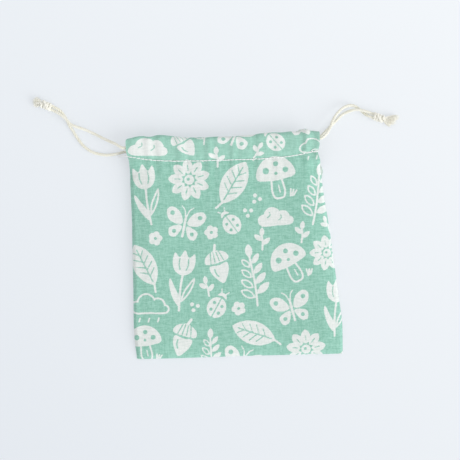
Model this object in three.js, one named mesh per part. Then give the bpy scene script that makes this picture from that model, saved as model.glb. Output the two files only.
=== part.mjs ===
// A small cotton drawstring bag, lying flat on its back panel with its cords spread to both sides.
// Two cloth panels are sewn together along the sides and the bottom. The top of each panel is turned
// in and stitched down, which makes a tunnel, and both tunnels are open at the two side slits. Each
// cord goes through both tunnels and round, and its two ends are knotted together outside.
// Millimetres, +Z up from the table, +Y towards the mouth, origin under the middle of the cloth.
import * as THREE from 'three';

// Cloth
const halfWidth = 71.8;
const halfLength = 76;
const cloth = 0.4;
const gap = 0.3; // clearance between neighbours that touch
const leftSeamInset = 2.5; // the sewn left edge lies this far inside the flared end of the tunnel
const rightTaper = 12.1; // the right edge comes in by this much from the bottom to the slit
const rightTaperStart = -45;
const taperSoftness = 0.02;
const cornerRadius = 1.2;
const edgeRoll = 10; // width over which the front panel curves down to a sewn edge

// Tunnel
const tunnelDepth = 18.3; // top fold to stitch line, in the middle
const stitchRise = 3.9; // the ends of the stitch line lie this much nearer the fold
const slitLength = 27; // open length of each side seam, from the top fold
const slitSpread = 9; // length over which the side edge rises to the tunnel
const tunnelEase = 0.3; // spare height over the cord
const tunnelSquareness = 2.6; // 2 is an ellipse, more is boxier
const hemFlange = 2.5; // turned-in cloth below the stitch line
const facingShort = 4.5; // the turned-in ply ends this far inside the slit, where a cord goes round
const flareLength = 10;

// Thickness of the lying bag
const mouthGap = 4.4;
const bottomFullness = 4.8; // rise of the front panel near the bottom seam

// Seams and thread
const seamInset = 3;
const seamWidth = 6;
const seamPlies = 2;
const threadRadius = 0.25;

// Cords
const cordRadius = 1;
const cordSides = 8;
const twistRadius = 1.18; // half the distance between two strands that are wound together
const leftFrontRunDepth = 8.4; // from the top fold to the cord's middle, in each tunnel
const leftBackRunDepth = 10.5;
const rightFrontRunDepth = 5.5;
const rightBackRunDepth = 3.8;

// Knots and frayed ends
const knotHalfLength = 4.2;
const knotRadius = 3.05;
const knotFace = 2.3;
const knotWaist = 2.75;
const knotFlatness = 0.86;
const frayNeck = 1.4;
const frayRadius = 3;
const frayFlatness = 0.7;
const leftFrayLength = 6.4;
const rightFrayLength = 9;
const tableClearance = 0.1;

// Heights that follow from the sizes above
const panelTop = cloth;
const seamTop = panelTop + gap + cloth; // top of the front panel where it is sewn to the back one
const backCordZ = panelTop + gap + cordRadius;
const tunnelHeight = 2 * cordRadius + 2 * gap + tunnelEase;
const backFacingCrest = panelTop + tunnelHeight + cloth;
const frontFacingTop = backFacingCrest + mouthGap + cloth;
const frontCordZ = frontFacingTop + gap + cordRadius;
const frontStitchTop = frontFacingTop + gap + cloth;
const frontCrest = frontFacingTop + tunnelHeight + cloth;

const slitBottom = halfLength - slitLength;
const slitTop = slitBottom + slitSpread;
const stitchEnd = halfLength - tunnelDepth + stitchRise;

const clamp = THREE.MathUtils.clamp;
const lerp = THREE.MathUtils.lerp;
const smoothstep = THREE.MathUtils.smoothstep;

// Outline of the cloth

function cornerInset(y) {
  const k = clamp(1 - (y + halfLength) / cornerRadius, 0, 1);
  return cornerRadius * (1 - Math.sqrt(1 - k * k));
}

function leftEdge(y) {
  const flare = smoothstep(y, stitchEnd - flareLength / 2, stitchEnd + flareLength / 2);
  return -halfWidth + leftSeamInset * (1 - flare) + cornerInset(y);
}

function rightEdge(y) {
  const t = Math.min(1, (y - rightTaperStart) / (slitTop - rightTaperStart));
  const ramp = (t + Math.sqrt(t * t + taperSoftness)) / 2;
  return halfWidth - rightTaper * ramp - cornerInset(y);
}

function stitchY(across) {
  const fromMiddle = 2 * across - 1;
  return halfLength - tunnelDepth + stitchRise * fromMiddle * fromMiddle;
}

// Rows and columns lie closer together towards the edges.
function spread(u) {
  return (1 - Math.cos(Math.PI * u)) / 2;
}

function rolled(distance) {
  return Math.sin(clamp(distance / edgeRoll, 0, 1) * Math.PI / 2) ** 0.8;
}

// Top of the front panel below its stitch line
function bodyHeight(x, y) {
  const fromBottom = y + halfLength;
  const toStitch = clamp(fromBottom / (slitTop + halfLength), 0, 1);
  const plateau = lerp(bottomFullness, frontStitchTop - seamTop, toStitch);
  const sides = rolled(x - leftEdge(y)) * rolled(rightEdge(y) - x);
  const slit = smoothstep(y, slitBottom, slitTop);
  return seamTop + plateau * rolled(fromBottom) * lerp(sides, 1, slit);
}

// Point number turn, from 0 at the stitch line to 1 at the top fold, of an arched ply
function arch(turn, fromY, toY, fromZ, toZ, crest) {
  const angle = turn * Math.PI;
  const c = Math.cos(angle);
  const level = Math.abs(c) ** (2 / tunnelSquareness) * Math.sign(c);
  const rise = Math.sin(angle) ** (2 / tunnelSquareness);
  const foot = turn < 0.5 ? fromZ : toZ;
  return [(fromY + toY) / 2 - level * (toY - fromY) / 2, lerp(foot, crest, rise)];
}

// A ply of cloth from a grid of points on its top side. place(u, row) gives one, and the underside
// lies one thickness below it, square to the surface.
function ply(columns, rows, place) {
  const at = (i, j) => {
    const u = clamp(i, 0, columns) / columns;
    return new THREE.Vector3(...place(u, clamp(j, 0, rows)));
  };
  const below = (i, j) => {
    const along = at(i + 1, j).sub(at(i - 1, j));
    const up = at(i, j + 1).sub(at(i, j - 1));
    return at(i, j).addScaledVector(along.cross(up).normalize(), -cloth);
  };
  const slab = new THREE.BoxGeometry(1, 1, 1, columns, rows, 1);
  const p = slab.attributes.position;
  for (let n = 0; n < p.count; n++) {
    const i = Math.round((p.getX(n) + 0.5) * columns);
    const j = Math.round((p.getY(n) + 0.5) * rows);
    const point = p.getZ(n) > 0 ? at(i, j) : below(i, j);
    p.setXYZ(n, point.x, point.y, point.z);
  }
  return slab;
}

const clothColumns = 24;
const bodyRows = 20;
const archRows = 10;

function frontPanel() {
  return ply(clothColumns, bodyRows + archRows, (u, row) => {
    const across = spread(u);
    const stitch = stitchY(across);
    if (row <= bodyRows) {
      const y = lerp(-halfLength, stitch, spread(row / bodyRows));
      const x = lerp(leftEdge(y), rightEdge(y), across);
      return [x, y, row === bodyRows ? frontStitchTop : bodyHeight(x, y)];
    }
    const turn = (row - bodyRows) / archRows;
    const foldFoot = frontFacingTop + gap;
    const [y, z] = arch(turn, stitch, halfLength, frontStitchTop, foldFoot, frontCrest);
    return [lerp(leftEdge(y), rightEdge(y), across), y, z];
  });
}

function backPanel() {
  const rows = 24;
  return ply(1, rows, (u, row) => {
    const y = lerp(-halfLength, halfLength, spread(row / rows));
    return [lerp(leftEdge(y), rightEdge(y), u), y, panelTop];
  });
}

function facingX(y, across) {
  return lerp(leftEdge(y) + facingShort, rightEdge(y) - facingShort, across);
}

function frontFacing() {
  return ply(clothColumns, 1, (u, row) => {
    const y = row === 0 ? stitchY(u) - hemFlange : halfLength;
    return [facingX(halfLength, u), y, frontFacingTop];
  });
}

function backFacing() {
  return ply(clothColumns, 1 + archRows, (u, row) => {
    if (row === 0) {
      return [facingX(halfLength, u), stitchY(u) - hemFlange, seamTop];
    }
    const turn = (row - 1) / archRows;
    const fold = halfLength;
    const [y, z] = arch(turn, stitchY(u), fold, seamTop, panelTop + gap, backFacingCrest);
    return [facingX(halfLength, u), y, z];
  });
}

// Seam allowances: both plies pressed flat inside the bag

function seamStrip(rows, place) {
  const strip = new THREE.BoxGeometry(1, 1, seamPlies * cloth, 1, rows, 1);
  const p = strip.attributes.position;
  const middle = panelTop + gap + seamPlies * cloth / 2;
  for (let n = 0; n < p.count; n++) {
    const [x, y] = place(p.getX(n) + 0.5, p.getY(n) + 0.5);
    p.setXYZ(n, x, y, middle + p.getZ(n));
  }
  return strip;
}

const sideSeamBottom = -halfLength + seamInset + seamWidth + gap;

function sideSeam(edge, inward) {
  return seamStrip(16, (u, v) => {
    const y = lerp(sideSeamBottom, slitBottom, v);
    const near = edge(y) + inward * seamInset;
    return [near + (inward > 0 ? u : 1 - u) * inward * seamWidth, y];
  });
}

function bottomSeam() {
  return seamStrip(1, (u, v) => {
    const y = -halfLength + seamInset + v * seamWidth;
    return [lerp(leftEdge(y) + 2 * seamInset, rightEdge(y) - 2 * seamInset, u), y];
  });
}

// Tubes

function section(radius) {
  const corners = [];
  for (let k = 0; k < cordSides; k++) {
    const angle = (k + 0.5) * 2 * Math.PI / cordSides;
    corners.push(new THREE.Vector2(radius * Math.cos(angle), radius * Math.sin(angle)));
  }
  return new THREE.Shape(corners);
}

// A smooth line with one step at each of its points, so that a bend gets more steps than a straight
class RouteByPoint extends THREE.CatmullRomCurve3 {
  getPointAt(t, target) {
    return this.getPoint(t, target);
  }

  getTangentAt(t, target) {
    return this.getTangent(t, target);
  }
}

function tube(points, radius) {
  const route = new RouteByPoint(points.map(p => new THREE.Vector3(...p)), false, 'centripetal');
  const settings = { steps: points.length - 1, extrudePath: route };
  return new THREE.ExtrudeGeometry(section(radius), settings);
}

function stitchRow(threadHeight) {
  const steps = 24;
  const points = [];
  for (let k = 0; k <= steps; k++) {
    const across = k / steps;
    const y = stitchY(across) - threadRadius - cloth - gap;
    points.push([facingX(halfLength, across), y, threadHeight(facingX(y, across), y)]);
  }
  return tube(points, threadRadius);
}

const onFrontPanel = (x, y) => bodyHeight(x, y) + gap + threadRadius;
const onBackFlange = () => seamTop + gap + threadRadius;

// Cords. A cord runs straight through the front tunnel, goes round at the far slit and comes back
// through the back tunnel. side is -1 for the cord with its knot on the left, and 1 for the right.
const leftCord = {
  side: -1,
  frontY: halfLength - leftFrontRunDepth,
  backY: halfLength - leftBackRunDepth,
};
const rightCord = {
  side: 1,
  frontY: halfLength - rightFrontRunDepth,
  backY: halfLength - rightBackRunDepth,
};
const slitX = side => (side < 0 ? leftEdge(halfLength) : rightEdge(halfLength));

function casingRun(cord) {
  const near = slitX(cord.side);
  const turnRadius = (frontCordZ - backCordZ) / 2;
  const reach = turnRadius + cordRadius + gap;
  const bend = slitX(-cord.side) + cord.side * reach;
  const points = [[near, cord.frontY, frontCordZ]];
  const steps = 10;
  for (let k = 0; k <= steps; k++) {
    const angle = k / steps * Math.PI;
    points.push([
      bend - cord.side * turnRadius * Math.sin(angle),
      lerp(cord.frontY, cord.backY, k / steps),
      (frontCordZ + backCordZ) / 2 + turnRadius * Math.cos(angle),
    ]);
  }
  points.push([near, cord.backY, backCordZ]);
  return tube(points, cordRadius);
}

// A strand leaves the slit straight along the tunnel.
function strandStart(cord, y, z) {
  const x = slitX(cord.side) + cord.side * gap;
  return [[x, y, z], [x + cord.side * cordRadius, y, z]];
}

// Points of one of two strands that wind round each other, from where they join to the knot, which
// they reach side by side and straight. At angle 0 or half a turn a strand lies beside the other one,
// and at a quarter turn on top of it.
function wound(join, knot, startAngle, endAngle) {
  const steps = 6;
  const straight = 2 * cordRadius;
  const approachShare = 0.4; // of the way, where the strands swing into the knot's own direction
  const end = knot.middle.clone().addScaledVector(knot.away, -knotHalfLength - gap - straight);
  const approach = approachShare * end.distanceTo(join);
  const bend = end.clone().addScaledVector(knot.away, -approach);
  const middleLine = new THREE.QuadraticBezierCurve3(join, bend, end);
  const points = [];
  for (let k = 0; k <= steps; k++) {
    const angle = lerp(startAngle, endAngle, k / steps);
    const ahead = middleLine.getTangent(k / steps);
    const sideways = new THREE.Vector3(-ahead.y, ahead.x, 0).normalize();
    const p = middleLine.getPoint(k / steps);
    p.addScaledVector(sideways, twistRadius * Math.cos(angle));
    p.z += twistRadius * Math.sin(angle);
    points.push(p);
  }
  points.push(points[steps].clone().addScaledVector(knot.away, straight));
  return points.map(p => p.toArray());
}

const knotZ = knotRadius * knotFlatness + tableClearance;

// Where each knot lies and which way it points, away from the bag
const leftKnot = {
  middle: new THREE.Vector3(-125, 98.4, knotZ),
  away: new THREE.Vector3(-0.904, 0.428, 0).normalize(),
};
const rightKnot = {
  middle: new THREE.Vector3(100.8, 83.9, knotZ),
  away: new THREE.Vector3(0.931, -0.366, 0).normalize(),
};

const quarterTurn = Math.PI / 2;
const halfTurn = Math.PI;
const leftTwistLag = 0.5; // the left strands cross this much of a turn, in radians, after they join
const leftJoin = new THREE.Vector3(-109.6, 85.2, 2.3);
const rightJoin = new THREE.Vector3(89.1, 89.35, 2.3);

const leftUpperStrand = [
  ...strandStart(leftCord, leftCord.frontY, frontCordZ),
  [-78.6, 70.8, 8.4],
  [-85, 74, 5.4],
  [-90.9, 77.2, 3],
  [-96.9, 80.3, 2.2],
  [-102.4, 82.6, 2.5],
  [-106.2, 83.9, 3.1],
  ...wound(leftJoin, leftKnot, quarterTurn + leftTwistLag, 0),
];
const leftLowerStrand = [
  ...strandStart(leftCord, leftCord.backY, backCordZ),
  [-78, 64.3, 1.5],
  [-84.1, 63.7, 1.2],
  [-89.8, 64.4, 1.2],
  [-95.2, 66.3, 1.2],
  [-99.4, 69.3, 1.2],
  [-102.8, 73.1, 1.2],
  [-105.4, 77, 1.2],
  [-107.4, 80.6, 1.2],
  ...wound(leftJoin, leftKnot, -quarterTurn + leftTwistLag, -halfTurn),
];
const rightUpperStrand = [
  ...strandStart(rightCord, rightCord.frontY, frontCordZ),
  [64.4, 73.2, 9.2],
  [67.2, 77.6, 8],
  [69.1, 82, 6.8],
  [71.6, 86.1, 5.7],
  [74.9, 89.7, 4.6],
  [78.5, 92, 3.6],
  [82.2, 92.8, 2.6],
  [85.9, 91.8, 1.7],
  ...wound(rightJoin, rightKnot, -quarterTurn, -halfTurn),
];
const rightLowerStrand = [
  ...strandStart(rightCord, rightCord.backY, backCordZ),
  [63.7, 74.6, 1.5],
  [67.3, 78.2, 1.2],
  [71.7, 82.5, 1.2],
  [76.6, 86.9, 1.4],
  [81.3, 88.9, 2.3],
  [85.4, 89.7, 3.2],
  ...wound(rightJoin, rightKnot, quarterTurn, 0),
];

// Half of a knot's outline is drawn from its near face to its waist, and mirrored.
function knotShape() {
  const half = [
    [knotFace, knotHalfLength],
    [knotRadius * 0.97, knotHalfLength * 0.72],
    [knotRadius, knotHalfLength * 0.42],
  ];
  const profile = [
    [0, -knotHalfLength],
    ...half.map(([r, z]) => [r, -z]),
    [knotWaist, 0],
    ...half.reverse(),
    [0, knotHalfLength],
  ];
  const turned = new THREE.LatheGeometry(profile.map(p => new THREE.Vector2(...p)), 14);
  return turned.scale(1, 1, knotFlatness);
}

function frayShape(length) {
  const profile = [
    [0, 0],
    [frayNeck, 0],
    [frayRadius * 0.78, length * 0.3],
    [frayRadius, length * 0.62],
    [frayRadius * 0.72, length * 0.9],
    [0, length],
  ];
  const turned = new THREE.LatheGeometry(profile.map(p => new THREE.Vector2(...p)), 12);
  return turned.scale(1, 1, frayFlatness);
}

// Materials
const printedCloth = new THREE.MeshStandardMaterial({ color: 0x96cfb8, roughness: 0.95, metalness: 0 });
const cottonCord = new THREE.MeshStandardMaterial({ color: 0xece6d6, roughness: 0.9, metalness: 0 });
const whiteThread = new THREE.MeshStandardMaterial({ color: 0xf2f4f3, roughness: 0.8, metalness: 0 });

// Assembly

const bag = new THREE.Group();

function add(name, geometry, material) {
  const mesh = new THREE.Mesh(geometry, material);
  mesh.name = name;
  bag.add(mesh);
  return mesh;
}

function addAlong(name, geometry, knot, start) {
  const mesh = add(name, geometry, cottonCord);
  mesh.position.copy(knot.middle).addScaledVector(knot.away, start);
  mesh.quaternion.setFromUnitVectors(new THREE.Vector3(0, 1, 0), knot.away);
  return mesh;
}

add('front_panel', frontPanel(), printedCloth);
add('back_panel', backPanel(), printedCloth);
add('front_facing', frontFacing(), printedCloth);
add('back_facing', backFacing(), printedCloth);
add('left_side_seam', sideSeam(leftEdge, 1), printedCloth);
add('right_side_seam', sideSeam(rightEdge, -1), printedCloth);
add('bottom_seam', bottomSeam(), printedCloth);
add('front_tunnel_stitching', stitchRow(onFrontPanel), whiteThread);
add('back_tunnel_stitching', stitchRow(onBackFlange), whiteThread);

add('left_cord_tunnel_run', casingRun(leftCord), cottonCord);
add('left_cord_upper_strand', tube(leftUpperStrand, cordRadius), cottonCord);
add('left_cord_lower_strand', tube(leftLowerStrand, cordRadius), cottonCord);
addAlong('left_cord_knot', knotShape(), leftKnot, 0);
addAlong('left_cord_frayed_ends', frayShape(leftFrayLength), leftKnot, knotHalfLength + gap);

add('right_cord_tunnel_run', casingRun(rightCord), cottonCord);
add('right_cord_upper_strand', tube(rightUpperStrand, cordRadius), cottonCord);
add('right_cord_lower_strand', tube(rightLowerStrand, cordRadius), cottonCord);
addAlong('right_cord_knot', knotShape(), rightKnot, 0);
addAlong('right_cord_frayed_ends', frayShape(rightFrayLength), rightKnot, knotHalfLength + gap);

export default bag;
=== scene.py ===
"""A small printed cotton drawstring bag, lying flat, with a cord spread to each side.

Shapes are worked out in millimetres and go into Blender in metres, in the CAD frame: +Z up from the
table, +Y from the bottom seam to the mouth.
"""
from math import cos, hypot, pi, radians, sin, sqrt, tan, tau

import bpy
import numpy as np
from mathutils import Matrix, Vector


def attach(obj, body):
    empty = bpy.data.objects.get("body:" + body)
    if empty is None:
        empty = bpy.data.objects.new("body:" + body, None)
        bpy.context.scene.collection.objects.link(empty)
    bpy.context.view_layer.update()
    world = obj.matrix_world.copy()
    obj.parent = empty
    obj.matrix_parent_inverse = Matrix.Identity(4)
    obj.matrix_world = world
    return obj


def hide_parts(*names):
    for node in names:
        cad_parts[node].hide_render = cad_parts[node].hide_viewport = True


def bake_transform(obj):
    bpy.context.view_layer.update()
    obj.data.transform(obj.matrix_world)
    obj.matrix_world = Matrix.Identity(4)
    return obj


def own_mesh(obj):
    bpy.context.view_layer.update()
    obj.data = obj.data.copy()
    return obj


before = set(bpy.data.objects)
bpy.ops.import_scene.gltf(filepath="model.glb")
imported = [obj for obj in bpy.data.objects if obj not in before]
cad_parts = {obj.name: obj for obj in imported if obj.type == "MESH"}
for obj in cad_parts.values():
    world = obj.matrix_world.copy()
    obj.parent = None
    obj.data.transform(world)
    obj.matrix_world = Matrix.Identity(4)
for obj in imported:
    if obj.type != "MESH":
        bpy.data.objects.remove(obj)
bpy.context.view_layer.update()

MM = 0.001
rng = np.random.default_rng(11)
scene = bpy.context.scene


def add_object(name, data):
    made = bpy.data.objects.new(name, data)
    scene.collection.objects.link(made)
    return made


def unit(v):
    v = np.asarray(v, float)
    return v / np.linalg.norm(v, axis=-1, keepdims=True)


def smoothstep(x, low, high):
    t = np.clip((x - low) / (high - low), 0, 1)
    return t * t * (3 - 2 * t)


def between(x, a, b, c, d):
    """Rises from 0 at a to 1 at b, and falls again from c to d"""
    return smoothstep(x, a, b) * (1 - smoothstep(x, c, d))


def bump(x, middle, width):
    return np.exp(-(((x - middle) / width) ** 2))


# Camera: straight above the bag, which lies turned a little in the photograph

view_angle = radians(22)
camera_data = bpy.data.cameras.new("photo_camera")
camera_data.sensor_width = 36
camera_data.lens = camera_data.sensor_width / 2 / tan(view_angle / 2)
camera = add_object("photo_camera", camera_data)
camera.location = (-0.0024, 0.0103, 0.808)
camera.rotation_euler = (0, 0, radians(-1.6))
scene.camera = camera

# Cords. The strands' points, from the slit to the knot, are those of the CAD routes.

strands = {
    ("left", "upper"): [
        (-72.1, 67.6, 9.8), (-73.1, 67.6, 9.8), (-78.6, 70.8, 8.4), (-85, 74, 5.4), (-90.9, 77.2, 3),
        (-96.9, 80.3, 2.2), (-102.4, 82.6, 2.5), (-106.2, 83.9, 3.1), (-109.1, 85.47, 3.34),
        (-110.94, 87.81, 3.6), (-112.8, 89.78, 3.69), (-114.64, 91.4, 3.63), (-116.4, 92.7, 3.43),
        (-118.06, 93.74, 3.11), (-119.63, 94.55, 2.72), (-121.44, 95.41, 2.72),
    ],
    ("left", "lower"): [
        (-72.1, 65.5, 1.7), (-73.1, 65.5, 1.7), (-78, 64.3, 1.5), (-84.1, 63.7, 1.2),
        (-89.8, 64.4, 1.2), (-95.2, 66.3, 1.2), (-99.4, 69.3, 1.2), (-102.8, 73.1, 1.2),
        (-105.4, 77, 1.2), (-107.4, 80.6, 1.2), (-110.1, 84.93, 1.26), (-111.25, 87.61, 1.26),
        (-112.44, 90.05, 1.38), (-113.75, 92.21, 1.6), (-115.2, 94.07, 1.92), (-116.82, 95.58, 2.31),
        (-118.62, 96.69, 2.72), (-120.43, 97.54, 2.72),
    ],
    ("right", "upper"): [
        (59.94, 70.5, 9.8), (60.94, 70.5, 9.8), (64.4, 73.2, 9.2), (67.2, 77.6, 8), (69.1, 82, 6.8),
        (71.6, 86.1, 5.7), (74.9, 89.7, 4.6), (78.5, 92, 3.6), (82.2, 92.8, 2.6), (85.9, 91.8, 1.7),
        (89.1, 89.35, 1.12), (90, 88.41, 1.29), (90.88, 87.55, 1.51), (91.74, 86.78, 1.78),
        (92.6, 86.12, 2.09), (93.46, 85.59, 2.41), (94.32, 85.18, 2.72), (96.18, 84.45, 2.72),
    ],
    ("right", "lower"): [
        (59.94, 72.2, 1.7), (60.94, 72.2, 1.7), (63.7, 74.6, 1.5), (67.3, 78.2, 1.2), (71.7, 82.5, 1.2),
        (76.6, 86.9, 1.4), (81.3, 88.9, 2.3), (85.4, 89.7, 3.2), (89.1, 89.35, 3.48),
        (90.32, 88.93, 3.57), (91.47, 88.57, 3.56), (92.54, 88.25, 3.45), (93.51, 87.95, 3.27),
        (94.39, 87.67, 3.02), (95.18, 87.38, 2.72), (97.04, 86.64, 2.72),
    ],
}


def add_mesh(name, points, faces, materials, attributes=None, face_material=None):
    """A mesh object from points in millimetres, with named point attributes: numbers or vectors"""
    mesh = bpy.data.meshes.new(name)
    mesh.from_pydata((np.asarray(points) * MM).tolist(), [], faces)
    mesh.update()
    mesh.shade_smooth()
    mesh.set_sharp_from_angle(angle=radians(60))
    for material in materials:
        mesh.materials.append(material)
    if face_material is not None:
        mesh.polygons.foreach_set("material_index", np.asarray(face_material, np.int32))
    for attribute, values in (attributes or {}).items():
        kind, field = ("FLOAT", "value") if values.ndim == 1 else ("FLOAT_VECTOR", "vector")
        made = mesh.attributes.new(attribute, kind, "POINT")
        made.data.foreach_set(field, values.astype(np.float32).ravel())
    return add_object(name, mesh)


def smooth_line(points, step):
    """Points about one step apart on the centripetal Catmull-Rom curve through the given ones"""
    p = np.asarray(points, float)
    p = np.vstack([2 * p[0] - p[1], p, 2 * p[-1] - p[-2]])
    made = []
    for a, b, c, d in zip(p, p[1:], p[2:], p[3:]):
        ab, bc, cd = (sqrt(np.linalg.norm(v)) for v in (b - a, c - b, d - c))
        leave = ((b - a) / ab - (c - a) / (ab + bc) + (c - b) / bc) * bc
        reach = ((c - b) / bc - (d - b) / (bc + cd) + (d - c) / cd) * bc
        steps = max(2, round(np.linalg.norm(c - b) / step))
        t = (np.arange(steps) / steps)[:, None]
        made.append(
            (2 * t**3 - 3 * t**2 + 1) * b + (t**3 - 2 * t**2 + t) * leave
            + (3 * t**2 - 2 * t**3) * c + (t**3 - t**2) * reach
        )
    return np.vstack([*made, p[-2:-1]])


def arc_length(points):
    return np.concatenate([[0], np.cumsum(np.linalg.norm(np.diff(points, axis=0), axis=1))])


def turning_frame(points):
    """Two directions square to the line at each point, which don't spin along it"""
    ahead = unit(np.gradient(points, axis=0))
    side = np.empty_like(ahead)
    last = np.array([0, 0, 1.0])
    for k, t in enumerate(ahead):
        last = unit(last - t * np.dot(last, t))
        side[k] = last
    return side, np.cross(ahead, side)


grain_stretch = 5  # how much longer a cord's fibres look than wide
shade_shift = 37  # how far apart tubes of the shades 0 and 1 lie in the fibre pattern


class Tubes:
    """Closed tubes gathered into one mesh"""

    def __init__(self):
        self.points, self.faces, self.along, self.grain = [], [], [], []

    def add(self, line, radius, sides, shade=0.0):
        side, other = turning_frame(line)
        n = len(line)
        angle = np.arange(sides) * tau / sides
        around = np.stack([np.cos(angle), np.sin(angle)], 1)
        radius = np.broadcast_to(radius, n)[:, None, None]
        ring = side[:, None] * around[:, :1] + other[:, None] * around[:, 1:]
        rows = sum(map(len, self.points)) + np.arange(n * sides).reshape(n, sides)
        self.points.append((line[:, None] + radius * ring).reshape(-1, 3))
        along = arc_length(line)
        self.along.append(np.repeat(along, sides))
        depth = np.broadcast_to(along[:, None, None] / grain_stretch, (n, sides, 1))
        place = np.concatenate([radius * around + (shade_shift * shade, 0), depth], 2)
        self.grain.append(place.reshape(-1, 3))
        turned = np.roll(rows, -1, 1)
        quads = np.stack([rows[:-1], turned[:-1], turned[1:], rows[1:]], 2).reshape(-1, 4)
        self.faces += [*quads.tolist(), rows[0, ::-1].tolist(), rows[-1].tolist()]

    def make(self, name, material):
        return add_mesh(
            name, np.vstack(self.points), self.faces, [material],
            {"along": np.concatenate(self.along), "grain_place": np.vstack(self.grain)},
        )


ply_count = 3
ply_radius = 0.53
ply_offset = 0.52  # from the cord's middle to a ply's
ply_pitch = 5.6  # the length of one turn


def plies(tubes, line, side, other, start, radius=ply_radius, offset=ply_offset, sides=8):
    """The twisted plies of a cord along a line, whose first point is start along the cord"""
    turn = tau * (start + arc_length(line)) / ply_pitch
    for k in range(ply_count):
        angle = (turn + tau * k / ply_count)[:, None]
        wander = 1 + 0.06 * np.sin(turn * 0.31 + 2.1 * k)[:, None]
        path = line + offset * wander * (side * np.cos(angle) + other * np.sin(angle))
        tubes.add(path, radius, sides, shade=k / ply_count)


stray_root = 0.85  # how far from its cord's middle a stray fibre starts
stray_radius = 0.032
stray_lowest = 0.06
strand_strays = 26


def stray_fibres(tubes, line, count, reach=0.9):
    """Short loose fibres that stand off a cord"""
    side, other = turning_frame(line)
    t = np.linspace(0, 1, 5)[:, None]
    for _ in range(count):
        k = rng.integers(2, len(line) - 6)
        angle = rng.uniform(0, tau)
        out = side[k] * cos(angle) + other[k] * sin(angle)
        ahead = unit(line[k + 3] - line[k])
        length = rng.uniform(0.5, 1) * reach
        bend = rng.uniform(-0.5, 0.5)
        drift = t * rng.uniform(0.4, 1.6) + bend * t * t
        path = line[k] + out * (stray_root + length * t) + ahead * drift
        path[:, 2] = np.maximum(path[:, 2], stray_lowest)
        tubes.add(path, stray_radius, 3, shade=rng.uniform(0, 1))


def from_srgb(*display):
    """A linear colour with alpha, from 0 to 255 display values"""
    shares = (c / 255 for c in display)
    return (*(c / 12.92 if c <= 0.04045 else ((c + 0.055) / 1.055) ** 2.4 for c in shares), 1.0)


class Nodes:
    """Short ways to write a node tree"""

    def __init__(self, owner):
        owner.use_nodes = True
        self.tree = owner.node_tree

    def fill(self, node, inputs):
        """Links or sets a node's inputs, given by name or number"""
        for key, value in inputs.items():
            if isinstance(value, bpy.types.NodeSocket):
                self.tree.links.new(value, node.inputs[key])
            else:
                node.inputs[key].default_value = value
        return node

    def node(self, kind, inputs=None, **settings):
        made = self.tree.nodes.new(kind)
        for key, value in settings.items():
            setattr(made, key, value)
        return self.fill(made, inputs or {})

    def attribute(self, name, output="Fac"):
        return self.node("ShaderNodeAttribute", attribute_name=name).outputs[output]

    def math(self, operation, *values, kind="ShaderNodeMath"):
        return self.node(kind, dict(enumerate(values)), operation=operation).outputs[0]

    def vector_math(self, operation, *values):
        return self.math(operation, *values, kind="ShaderNodeVectorMath")

    def noise(self, vector, scale, detail=2.0, roughness=0.5):
        inputs = {"Vector": vector, "Scale": scale, "Detail": detail, "Roughness": roughness}
        return self.node("ShaderNodeTexNoise", inputs).outputs["Fac"]

    def spread(self, value, low, high, most=1.0, kind="SMOOTHSTEP"):
        """Goes from 0 to most as the value goes from low to high"""
        inputs = {"Value": value, "From Min": low, "From Max": high, "To Max": most}
        return self.node("ShaderNodeMapRange", inputs, interpolation_type=kind).outputs[0]

    def mix(self, share, *colours):
        """Mixes two colours, which are sockets or display values from 0 to 255"""
        a, b = (from_srgb(*colour) if isinstance(colour, tuple) else colour for colour in colours)
        return self.node("ShaderNodeMix", {0: share, 6: a, 7: b}, data_type="RGBA").outputs[2]


class Finish(Nodes):
    """A material under way"""

    def __init__(self, name, roughness, specular, sheen=0.0):
        self.material = bpy.data.materials.new(name)
        super().__init__(self.material)
        self.shader = self.fill(self.tree.nodes["Principled BSDF"], {
            "Roughness": roughness, "Specular IOR Level": specular, "Sheen Weight": sheen,
            "Sheen Roughness": 0.5,
        })

    def finish(self, colour, *relief):
        """Relief is a height, the distance in metres that it stands for and its strength"""
        self.fill(self.shader, {"Base Color": colour})
        if relief:
            made = self.node("ShaderNodeBump", dict(zip(("Height", "Distance", "Strength"), relief)))
            self.fill(self.shader, {"Normal": made.outputs["Normal"]})
        return self.material


def cord_material(name, light, dark, shadow):
    n = Finish(name, 0.92, sheen=0.15, specular=0.15)
    place = n.node("ShaderNodeTexCoord").outputs["Object"]
    tone = n.noise(place, 900)
    blotch = n.noise(place, 160)
    fibre = n.noise(n.attribute("grain_place", "Vector"), 6.0, 3, 0.65)
    colour = n.mix(n.spread(blotch, 0.3, 0.7), light, dark)
    colour = n.mix(n.spread(fibre, 0.5, 0.75, 0.45), colour, shadow)
    return n.finish(colour, n.math("MULTIPLY_ADD", fibre, -0.9, tone), 0.0002, 0.7)


cord_finish = cord_material("cotton_cord", (250, 249, 239), (242, 240, 226), (228, 225, 206))
# Knots and frayed ends: the cord's finish with painted light, lighter colours that offset the shade their
# close turns and fibres cast on themselves
painted_light_knot_finish = cord_material("cotton_cord_painted_lighter", (254, 253, 245), (251, 249, 239), (241, 238, 223))


def knot_frame(middle, away):
    """A knot's middle, and its directions along the cord, across it and up"""
    away = unit([*away, 0])
    return np.array(middle), away, np.array([-away[1], away[0], 0]), np.array([0, 0, 1.0])


knots = {
    "left": knot_frame((-125, 98.4, 2.723), (-0.904, 0.428)),
    "right": knot_frame((100.8, 83.9, 2.723), (0.931, -0.366)),
}
knot_half_length = 4.2
knot_flatness = 0.86
knot_turns = 1.75
knot_radius = 2.05
strand_apart = 1.05  # a strand's distance from the knot's middle line, at the knot's ends
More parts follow.
